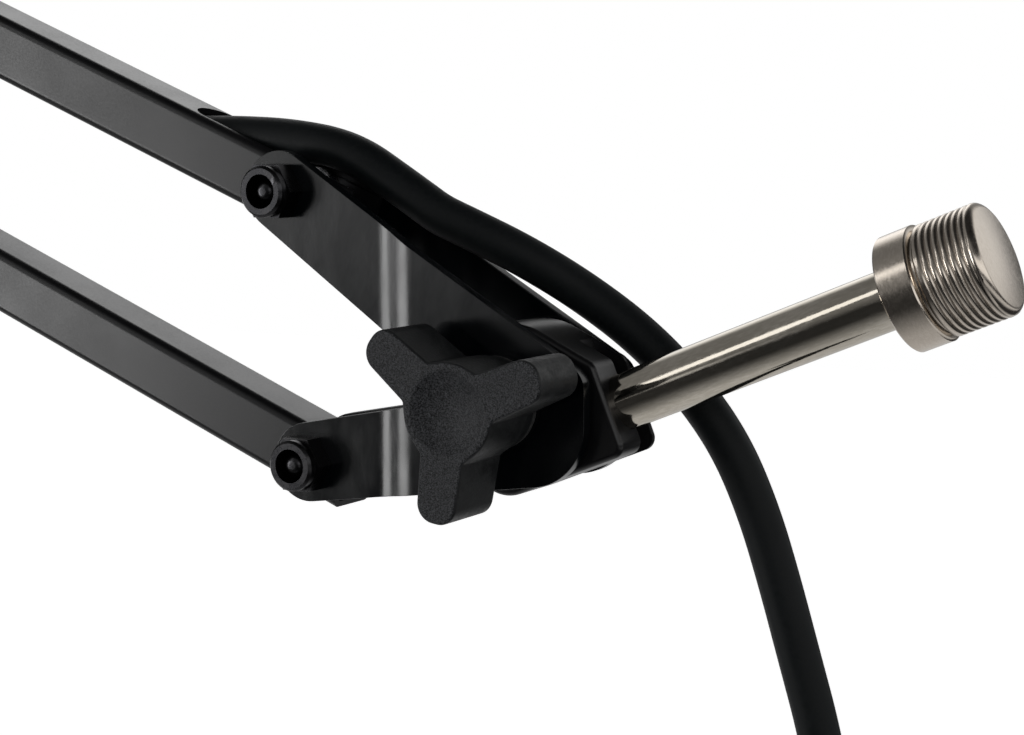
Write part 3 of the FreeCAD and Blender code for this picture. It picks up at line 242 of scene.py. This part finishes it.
# %% Mix the finishes
SHAFT_RISE_DEG = 22.5
SHAFT_TURN = (0, math.radians(SHAFT_RISE_DEG), 0)
FINISHES = {
    "black_paint": finish(
        "tube_paint", (0.006, 0.006, 0.007), (0.009, 0.009, 0.01), (0.28, 0.35),
        fine=2600, broad=90, depth=0.000003),
    "plate_paint": finish(
        "plate_paint", (0.001, 0.002, 0.003), (0.004, 0.005, 0.006), (0.17, 0.25),
        fine=220, broad=160, depth=0.00004, stretch=(1, 1, 0.5)),
    "black_steel": finish(
        "black_oxide", (0.042, 0.042, 0.045), (0.056, 0.055, 0.057), (0.26, 0.34), metal=1,
        fine=2200, broad=300, depth=0.000003),
    "nickel": finish(
        "nickel_plate", (0.56, 0.515, 0.44), (0.68, 0.63, 0.55), (0.07, 0.14), metal=1,
        fine=2600, broad=240, depth=0.000004, stretch=(0.3, 1, 1), turn=SHAFT_TURN),
    # the last colour darkens the spindle's thread roots: painted shade, with some dirt
    "bright_steel": finish(
        "zinc_plate", (0.42, 0.43, 0.45), (0.6, 0.6, 0.61), (0.22, 0.36), metal=1,
        fine=1600, broad=120, depth=0.000005, root_shade_and_dirt=(0.12, 0.12, 0.12)),
    "brass": finish(
        "brass", (0.5, 0.36, 0.14), (0.68, 0.52, 0.24), (0.2, 0.34), metal=1,
        fine=1500, broad=200),
    "knob_plastic": finish(
        "moulded_plastic", (0.008, 0.009, 0.01), (0.019, 0.021, 0.022), (0.42, 0.62),
        fine=2400, broad=500, depth=0.00003),
    "nylon": finish(
        "nylon", (0.05, 0.05, 0.05), (0.09, 0.09, 0.088), (0.4, 0.55),
        fine=1200, broad=100),
    "rubber": finish(
        "rubber", (0.008, 0.008, 0.008), (0.02, 0.02, 0.02), (0.6, 0.8),
        fine=1800, broad=200, depth=0.00003),
    "lead_rubber": finish(
        "lead_sheath", (0.006, 0.008, 0.009), (0.01, 0.012, 0.013), (0.48, 0.6),
        fine=1500, broad=60, depth=0.000008, Specular_IOR_Level=0.22),
    "shell_metal": finish(
        "black_chrome", (0.02, 0.02, 0.021), (0.045, 0.045, 0.046), (0.2, 0.32), metal=1,
        fine=2000, broad=120, depth=0.000004),
    "spring_steel": finish(
        "spring_steel", (0.3, 0.3, 0.31), (0.45, 0.45, 0.46), (0.3, 0.45), metal=1,
        fine=1500, broad=150),
}
print(len(FINISHES), "finishes")

# %% [markdown]
# ## Skins over the solids
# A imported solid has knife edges, and a real edge never is one: it is a narrow round that catches
# the light. The skin of a solid is a copy whose loose triangles are merged and joined into
# flats, with a narrow bevel along each sharp edge. Weighted normals then keep the flats flat, so
# that only the bevels bend a reflection.

# %% Helpers for meshes
body_of_node = {node: body for body, nodes in bodies.items() for node in nodes}
slot_of_node = {entry["node"]: entry["material_slot"] for entry in record["subparts"]}


def add_object(name, data):
    """A new object, linked into the scene."""
    piece = bpy.data.objects.new(name, data)
    bpy.context.collection.objects.link(piece)
    return piece


def take_hold(piece):
    """Make a piece the only thing that operators act on."""
    bpy.ops.object.select_all(action="DESELECT")
    piece.select_set(True)
    bpy.context.view_layer.objects.active = piece


def start_editing(piece):
    """Open a piece for editing, with all of its mesh selected."""
    take_hold(piece)
    bpy.ops.object.mode_set(mode="EDIT")
    bpy.ops.mesh.select_all(action="SELECT")


def apply_modifier(piece, name, kind, **settings):
    """Add a modifier to a piece and bake it into the mesh."""
    modifier = piece.modifiers.new(name, kind)
    for setting, choice in settings.items():
        setattr(modifier, setting, choice)
    take_hold(piece)
    bpy.ops.object.modifier_apply(modifier=modifier.name)


def dress(piece, node):
    """Put a piece in the place of a solid: its finish, its moving body and its material slot."""
    piece.data.materials.clear()
    piece.data.materials.append(FINISHES[slot_of_node[node]])
    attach(piece, body_of_node[node])
    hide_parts(node)


# %% Make a skin for each solid
MERGE_M = 1e-6
FLAT_DEG = 1
SHARP_DEG = 28
BEVEL_STEPS = 2
FLAT_WEIGHT = 100
USUAL_BEVEL_M = 0.0002
PLATE_BEVEL_M = 0.00025
NUT_BEVEL_M = 0.00034
BEVEL_M = {
    "head_plate_near": PLATE_BEVEL_M, "head_plate_far": PLATE_BEVEL_M,
    "base_plate_near": PLATE_BEVEL_M, "base_plate_far": PLATE_BEVEL_M,
    "elbow_plate_near": PLATE_BEVEL_M, "elbow_plate_far": PLATE_BEVEL_M,
    "head_pivot_nuts": NUT_BEVEL_M, "elbow_pivot_nuts": NUT_BEVEL_M,
    "base_pivot_nuts": NUT_BEVEL_M, "block_nuts": NUT_BEVEL_M,
    "clamp_frame": 0.0006, "base_block": 0.0004, "jaw_pad": 0.0004,
    "clamp_disc": 0.0005, "disc_pad": 0.0004,
}
MADE_APART = {"mic_lead", "line_lead", "thread_stud", "clamp_spindle"}


def skin(node):
    """A bevelled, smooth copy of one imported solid, in that solid's finish."""
    piece = add_object(node + "_skin", frame["nodes"][node].data.copy())
    take_hold(piece)
    bpy.ops.mesh.customdata_custom_splitnormals_clear()
    start_editing(piece)
    bpy.ops.mesh.remove_doubles(threshold=MERGE_M)
    bpy.ops.mesh.dissolve_limited(angle_limit=math.radians(FLAT_DEG))
    bpy.ops.object.mode_set(mode="OBJECT")
    apply_modifier(piece, "edge", "BEVEL", width=BEVEL_M.get(node, USUAL_BEVEL_M),
                   segments=BEVEL_STEPS, limit_method="ANGLE",
                   angle_limit=math.radians(SHARP_DEG))
    bpy.ops.object.shade_smooth_by_angle(angle=math.radians(SHARP_DEG))
    apply_modifier(piece, "flats", "WEIGHTED_NORMAL", weight=FLAT_WEIGHT, keep_sharp=True)
    dress(piece, node)
    return piece


skins = {node: skin(node) for node in frame["nodes"] if node not in MADE_APART}
face_count = sum(len(piece.data.polygons) for piece in skins.values())
print(len(skins), "skins with", face_count, "faces")

# %% [markdown]
# ## The speckled face of the knob
# The knob's front is spark-textured in its mould, while its sides are plain. A second finish with
# a much finer, deeper grain goes on the faces that look forward. Its light specks are painted
# glints, the sparkle of that texture set into its colour.

# %% Texture the knob's front
FRONT_LEAST = 0.85
knob_mesh = skins["tilt_knob"].data
# the light colour below paints glints into the speckle
knob_mesh.materials.append(finish(
    "speckle_with_painted_glints", (0, 0, 0.001), (0.11, 0.114, 0.122), (0.3, 0.5),
    fine=7000, broad=4200, depth=0.00008, Specular_IOR_Level=0.25))
for face in knob_mesh.polygons:
    face.material_index = 1 if face.normal.y < -FRONT_LEAST else 0
print(sum(face.material_index for face in knob_mesh.polygons), "speckled faces on the knob")

# %% [markdown]
# ## The lead
# The lead leaves each end of the upper tube through a slot, bends over the bracket and hangs to
# its connector. The route's points steer one smooth curve. A round bevel makes the curve a tube,
# and the tube becomes a mesh. Its two ends ride on different bodies.

# %% Lay out the routes, from the tilt axis and from the elbow
MIC_ROUTE = [
    (-0.07017, 0.0, 0.04134), (-0.06180, 0.0, 0.03803), (-0.0522, 0.0, 0.0381),
    (-0.0414, 0.0002, 0.0376), (-0.0308, 0.0006, 0.0358), (-0.0217, 0.0012, 0.0302),
    (-0.0187, 0.0014, 0.0283), (-0.0157, 0.0016, 0.0264), (-0.0125, 0.0022, 0.0250),
    (-0.0031, 0.0046, 0.0206), (0.0049, 0.0094, 0.0149), (0.0136, 0.0115, 0.0085),
    (0.0215, 0.0112, 0.0016), (0.0281, 0.0115, -0.0067), (0.0326, 0.0118, -0.0164),
    (0.0360, 0.0119, -0.0266), (0.0391, 0.0120, -0.0370), (0.0423, 0.0120, -0.0474),
    (0.0444, 0.0122, -0.0576), (0.0456, 0.0124, -0.0678), (0.0460, 0.0125, -0.0776),
]
LINE_ROUTE = [
    (0.03044, 0.0, -0.01275), (0.02208, 0.0, -0.00944), (0.0130, 0.0, -0.0024),
    (0.0058, 0.0005, 0.0048), (-0.0024, 0.0018, 0.0102), (-0.0116, 0.0042, 0.0129),
    (-0.0210, 0.0076, 0.0116), (-0.0290, 0.0112, 0.0058), (-0.0348, 0.0148, -0.0028),
    (-0.0384, 0.0180, -0.0130), (-0.0404, 0.0204, -0.0240), (-0.0416, 0.0220, -0.0352),
    (-0.0422, 0.0228, -0.0466), (-0.0425, 0.0232, -0.0582), (-0.0426, 0.0233, -0.0698),
    (-0.0426, 0.0233, -0.0806),
]
print("routes with", len(MIC_ROUTE), "and", len(LINE_ROUTE), "points")

# %% Sweep the two free stretches of the lead
LEAD_RADIUS = 0.00315
LEAD_ROUND = 8
CURVE_STEPS = 10
CURVE_ORDER = 3


def smooth_curve(name, points):
    """A curve object that a route's points steer."""
    data = bpy.data.curves.new(name, "CURVE")
    data.dimensions = "3D"
    data.resolution_u = CURVE_STEPS
    spline = data.splines.new("NURBS")
    spline.points.add(len(points) - 1)
    for handle, point in zip(spline.points, points):
        handle.co = (*point, 1)
    spline.order_u = CURVE_ORDER
    spline.use_endpoint_u = True
    return add_object(name, data)


def lead(name, node, pivot, route):
    """One free stretch of the lead, swept as a tube along its route."""
    piece = smooth_curve(name, [pivot + Vector(point) for point in route])
    bpy.context.view_layer.update()
    line = [vertex.co.copy() for vertex in bpy.data.meshes.new_from_object(piece).vertices]
    piece.data.bevel_depth = LEAD_RADIUS
    piece.data.bevel_resolution = LEAD_ROUND
    piece.data.use_fill_caps = True
    take_hold(piece)
    bpy.ops.object.convert(target="MESH")
    start_editing(piece)
    bpy.ops.mesh.remove_doubles(threshold=MERGE_M)
    bpy.ops.mesh.normals_make_consistent(inside=False)
    bpy.ops.object.mode_set(mode="OBJECT")
    bpy.ops.object.shade_smooth_by_angle(angle=math.radians(SHARP_DEG))
    piece.data.materials.append(FINISHES["lead_rubber"])
    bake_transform(piece)
    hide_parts(node)


elbow_axis = Vector(joints["upper_arm"]["pos_m"])
lead("mic_lead_tube", "mic_lead", tilt_axis, MIC_ROUTE)
lead("line_lead_tube", "line_lead", elbow_axis, LINE_ROUTE)

# %% [markdown]
# ## Screw threads
# The microphone stud and the clamp's spindle are turned on a lathe before they are threaded, and
# they are made the same way here: a profile of (distance along, radius) corners is spun about
# the axis, and a groove that climbs one pitch in each turn is then pressed into the plain rod.
# A screw modifier would make the groove alone and leave its two ends to be patched.

# %% Turn a rod
ROD_SIDES = 96


def even_corners(start, stop, radius, step):
    """Corners of a plain stretch, close enough together to take a thread."""
    count = math.ceil((stop - start) / step)
    return [(start + (stop - start) * k / count, radius) for k in range(count + 1)]


def turned_rod(name, foot, way, corners):
    """A closed rod, spun from corners along an axis."""
    across = way.orthogonal().normalized()
    mesh = bpy.data.meshes.new(name)
    mesh.from_pydata([foot + way * along + across * radius for along, radius in corners],
                     [(k, k + 1) for k in range(len(corners) - 1)], [])
    piece = add_object(name, mesh)
    start_editing(piece)
    bpy.ops.mesh.spin(steps=ROD_SIDES, angle=2 * math.pi, center=foot, axis=way)
    bpy.ops.mesh.select_all(action="SELECT")
    bpy.ops.mesh.remove_doubles(threshold=MERGE_M)
    bpy.ops.mesh.normals_make_consistent(inside=False)
    bpy.ops.object.mode_set(mode="OBJECT")
    return piece


# %% Press a thread into a rod
STEPS_IN_PITCH = 10
CREST_SHARE = 0.25
SHADE_AND_DIRT_POWER = 3


def press_thread(piece, foot, way, pitch, depth, low, high):
    """Press a climbing groove into a rod; note the painted shade and dirt that each point takes."""
    groove = piece.data.attributes.new("groove", "FLOAT", "POINT")
    across = way.orthogonal().normalized()
    third = way.cross(across)
    for vertex, mark in zip(piece.data.vertices, groove.data):
        arm = vertex.co - foot
        along = arm.dot(way)
        if not low < along < high:
            continue
        out = (arm - way * along).normalized()
        turn = math.atan2(out.dot(third), out.dot(across)) / (2 * math.pi)
        slope = 1 - abs(2 * ((along / pitch - turn) % 1) - 1)
        fade = min((along - low) / pitch, (high - along) / pitch, 1)
        share = max(slope - CREST_SHARE, 0) / (1 - CREST_SHARE)
        sunk = fade * (1 - math.cos(math.pi * share)) / 2
        vertex.co -= out * depth * sunk
        # the sharpened depth is how much painted shade, with some dirt, the point takes
        mark.value = sunk ** SHADE_AND_DIRT_POWER


def threaded_rod(name, node, foot, way, corners, pitch, depth, threaded):
    """A turned and threaded piece in the place of a solid."""
    piece = turned_rod(name, foot, way, corners)
    press_thread(piece, foot, way, pitch, depth, *threaded)
    take_hold(piece)
    bpy.ops.object.shade_smooth_by_angle(angle=math.radians(SHARP_DEG))
    dress(piece, node)
    print(name, "has", round((threaded[1] - threaded[0]) / pitch), "turns")
    return piece


# %% Make the microphone stud
STUD_PITCH = 0.0254 / 27
THREAD_MIDDLE_M = 0.06965
STUD = [
    (0.0600, 0), (0.0600, 0.0078), (0.0601, 0.0080), (0.0603, 0.0082), (0.0647, 0.0082),
    (0.0649, 0.0080), (0.0650, 0.0077), (0.0651, 0.0073), (0.0654, 0.0073),
    *even_corners(0.0658, 0.0734, 0.0079, STUD_PITCH / STEPS_IN_PITCH),
    (0.0736, 0.00786), (0.0738, 0.00776), (0.0740, 0.0076), (0.0742, 0.00738),
    (0.07435, 0.0071), (0.0744, 0.0069), (0.0744, 0),
]
mounts = {mount["name"]: mount for mount in record["mounts"]}
stud_way = Vector(mounts["mic_thread"]["axis"]).normalized()
stud_foot = Vector(mounts["mic_thread"]["pos_m"]) - stud_way * THREAD_MIDDLE_M
stud = threaded_rod("stud_thread", "thread_stud", stud_foot, stud_way, STUD, STUD_PITCH,
                    depth=0.00018, threaded=(0.0658, 0.0737))
# the last colour below darkens the stud's thread roots: painted shade, with some dirt
stud.data.materials[0] = finish(
    "turned_nickel", (0.66, 0.59, 0.51), (0.74, 0.665, 0.58), (0.17, 0.24), metal=1,
    fine=5000, broad=2400, depth=0.000005, stretch=(1, 0.5, 0.5), turn=SHAFT_TURN,
    root_shade_and_dirt=(0.26, 0.22, 0.18))

# %% Make the clamp's spindle
SPINDLE_PITCH = 0.0015
SPINDLE = [
    (-0.1190, 0), (-0.1190, 0.0064), (-0.1186, 0.0072), (-0.1174, 0.0080), (-0.1066, 0.0080),
    (-0.1054, 0.0072), (-0.1050, 0.0064), (-0.1050, 0.0050),
    *even_corners(-0.1040, -0.0394, 0.0050, SPINDLE_PITCH / STEPS_IN_PITCH),
    (-0.0392, 0.0048), (-0.0391, 0.0036), (-0.0322, 0.0036), (-0.0321, 0.0034), (-0.0321, 0),
]
threaded_rod("spindle_thread", "clamp_spindle", Vector((0, 0, 0)), Vector((0, 0, 1)), SPINDLE,
             SPINDLE_PITCH, depth=0.0009, threaded=(-0.1030, -0.0400))

# %% [markdown]
# ## The room
# The picture is a cut-out on pure white, but black paint and nickel show the room that they
# mirror: a bright wall behind the arm, a dark camera side and a dark ceiling. So the camera's
# own rays see white, and all other rays see that room, whose glow is laid out by direction. An
# image of a studio could do this too, but a few soft steps are easier to change.

# %% Helpers for light
def show_to_camera(tree, seen, lit, output):
    """Show one shader to the camera and another to everything else."""
    ray = add_node(tree, "LightPath", {})
    mix = add_node(tree, "MixShader", {"Fac": ray.outputs["Is Camera Ray"]})
    tree.links.new(lit.outputs[0], mix.inputs[1])
    tree.links.new(seen.outputs[0], mix.inputs[2])
    tree.links.new(mix.outputs[0], output.inputs["Surface"])


def ramp(source, low, high, start, stop):
    """A soft step, from the level start where the source is low to stop where it is high."""
    step = add_node(source.id_data, "MapRange",
                    {"Value": source, "From Min": low, "From Max": high,
                     "To Min": start, "To Max": stop}, interpolation_type="SMOOTHSTEP")
    return step.outputs["Result"]


def combine(operation, first, second):
    """Two levels put together by one operation."""
    wires = {0: first, 1: second}
    return add_node(first.id_data, "Math", wires, operation=operation).outputs[0]


def product(first, *others):
    """Levels multiplied with each other."""
    for other in others:
        first = combine("MULTIPLY", first, other)
    return first


# %% Start the room
world = bpy.data.worlds.new("studio")
world.use_nodes = True
bpy.context.scene.world = world
room_tree = world.node_tree
white_wall = room_tree.nodes["Background"]
white_wall.inputs["Color"].default_value = (1, 1, 1, 1)
looking = add_node(room_tree, "TexCoord", {}).outputs["Generated"]
direction = add_node(room_tree, "SeparateXYZ", {0: looking}).outputs
across, deep, up = direction["X"], direction["Y"], direction["Z"]
print("room laid out by", len(direction), "parts of a direction")

# %% Lay out the camera's side of the room
front_floor_to_wall = ramp(up, -0.2, 0.3, 0.02, 0.25)
front_ceiling = ramp(up, 0.68, 0.9, 1, 0.1)
front_right_fade = ramp(across, 0.1, 0.7, 1, 0.15)
front_glow = product(front_floor_to_wall, front_ceiling, front_right_fade)

left_panel = ramp(across, -0.52, -0.42, 1.7, 0)
left_depth = ramp(deep, -0.5, -0.3, 1, 0)
left_foot = ramp(up, -0.12, -0.01, 0, 1)
left_middle = ramp(up, -0.03, 0.02, 1, 0.3)
left_head = ramp(up, 0.02, 0.1, 1, 0)
left_glow = product(left_panel, left_depth, left_foot, left_middle, left_head)

right_panel = ramp(across, 0.1, 0.55, 0, 1.3)
right_foot = ramp(up, 0.02, 0.16, 0, 1)
right_head = ramp(up, 0.4, 0.52, 1, 0)
right_glow = product(right_panel, right_foot, right_head)
camera_side = combine("ADD", combine("ADD", front_glow, left_glow), right_glow)
print("camera side with", len(room_tree.nodes), "nodes so far")

# %% Lay out the wall behind the arm, and close the room
high_rise = ramp(up, 0, 0.5, 0, 1.75)
high_left = ramp(across, -0.36, -0.16, 1, 0)
back_dark_left = ramp(across, 0, 0.3, 0.3, 1)
back_right_end = ramp(across, 0.5, 0.8, 1, 0.05)
back_foot = ramp(up, 0.02, 0.2, 0.2, 1)
back_ceiling = ramp(up, 0.6, 0.84, 1, 0.04)
high_glow = product(high_rise, high_left)
back_right = product(back_dark_left, back_right_end, back_foot)
back_glow = product(combine("ADD", high_glow, back_right), back_ceiling)

towards_back = ramp(deep, 0.25, 0.85, 0, 1)
glow = add_node(room_tree, "Mix", {"Factor": towards_back, "A": camera_side, "B": back_glow})
room = add_node(room_tree, "Background", {"Strength": glow.outputs["Result"]})
show_to_camera(room_tree, white_wall, room, room_tree.nodes["World Output"])
print("room with", len(room_tree.nodes), "nodes")

# %% [markdown]
# ## The lights
# A soft light stands low at the left: the fronts of the tubes mirror its near edge, and it makes
# the bright bands in the bends of the head plates. A slim strip above it draws the narrow white
# line along the shaft. They are area lights, because a mirror shows the outline of its light.

# %% Hang the lights
LIGHT_AWAY_M = 2.0


def soft_light(name, azimuth_deg, rise_deg, size_m, watts):
    """A rectangle of light that faces the tilting head."""
    azimuth, rise = math.radians(azimuth_deg), math.radians(rise_deg)
    way = Vector((-math.sin(azimuth) * math.cos(rise), -math.cos(azimuth) * math.cos(rise),
                  math.sin(rise)))
    data = bpy.data.lights.new(name, "AREA")
    data.shape = "RECTANGLE"
    data.size, data.size_y = size_m
    data.energy = watts
    light = add_object(name, data)
    light.location = tilt_axis + way * LIGHT_AWAY_M
    light.rotation_euler = (-way).to_track_quat("-Z", "Y").to_euler()
    print(name, "at", [round(part, 2) for part in light.location])


soft_light("low_softbox", azimuth_deg=50.5, rise_deg=-3.6, size_m=(0.48, 0.72), watts=7)
soft_light("shaft_strip", azimuth_deg=39.4, rise_deg=24, size_m=(0.27, 1.05), watts=1.3)

# %% [markdown]
# ## The table
# Below the arm lies a white table, low enough for the clamp's spindle at its lowest. To the
# camera it glows almost white and takes the rest of its light from the room, so it keeps a pale
# shadow of the arm. To everything else it is a pool of light that fades towards the dark camera
# side, which is what the undersides mirror. The pool also fades to the right of the head, and a
# pale card lies beyond, for the edge of the stud.

# %% Place the table
TABLE_SPAN_M = 8
TABLE_DROP_M = 0.03
table_height = cad_box[0][2] - TABLE_DROP_M
bpy.ops.object.select_all(action="DESELECT")
bpy.ops.mesh.primitive_plane_add(size=TABLE_SPAN_M, location=(0, 0, table_height))
table = bpy.context.object
table.name = "table"
print("table", round(table_height, 4), "m high")

# %% Give the table its paper
TABLE_GLOW = 0.8
PAPER_TINT = (0.92, 0.92, 0.92, 1)
POOL_FRONT_M = -0.75
POOL_RIGHT_M = 0.33
POOL_SIDE = 0.05
POOL_LEAST = 0.03
POOL_MOST = 0.55
CARD_FROM_M = 1.1
CARD_TO_M = 1.7
CARD_GLOW = 0.55

paper = bpy.data.materials.new("white_table")
paper.use_nodes = True
paper_tree = paper.node_tree
paper_tree.nodes.remove(paper_tree.nodes["Principled BSDF"])
own_glow = add_node(paper_tree, "Emission", {"Strength": TABLE_GLOW})
sheet = add_node(paper_tree, "BsdfDiffuse", {"Color": PAPER_TINT})
paper_seen = add_node(paper_tree, "AddShader", {0: own_glow.outputs[0], 1: sheet.outputs[0]})
place = add_node(paper_tree, "TexCoord", {}).outputs["Object"]
spot = add_node(paper_tree, "SeparateXYZ", {0: place}).outputs
near = add_node(paper_tree, "MapRange", {"Value": spot["Y"], "From Min": POOL_FRONT_M,
                                         "From Max": 0}).outputs[0]
fall = add_node(paper_tree, "MapRange", {"Value": product(near, near), "To Min": POOL_LEAST,
                                         "To Max": POOL_MOST}).outputs[0]
level = product(ramp(spot["X"], POOL_RIGHT_M, 2 * POOL_RIGHT_M, 1, POOL_SIDE), fall)
card = ramp(spot["X"], CARD_FROM_M, CARD_TO_M, 0, CARD_GLOW)
pool = add_node(paper_tree, "Emission", {"Strength": combine("ADD", level, card)})
show_to_camera(paper_tree, paper_seen, pool, paper_tree.nodes["Material Output"])
table.data.materials.append(paper)
print("table paper with", len(paper_tree.nodes), "nodes")

# %% [markdown]
# ## Last step
# The last cell brings the scene up to date.

# %% Bring the scene up to date
bpy.context.view_layer.update()
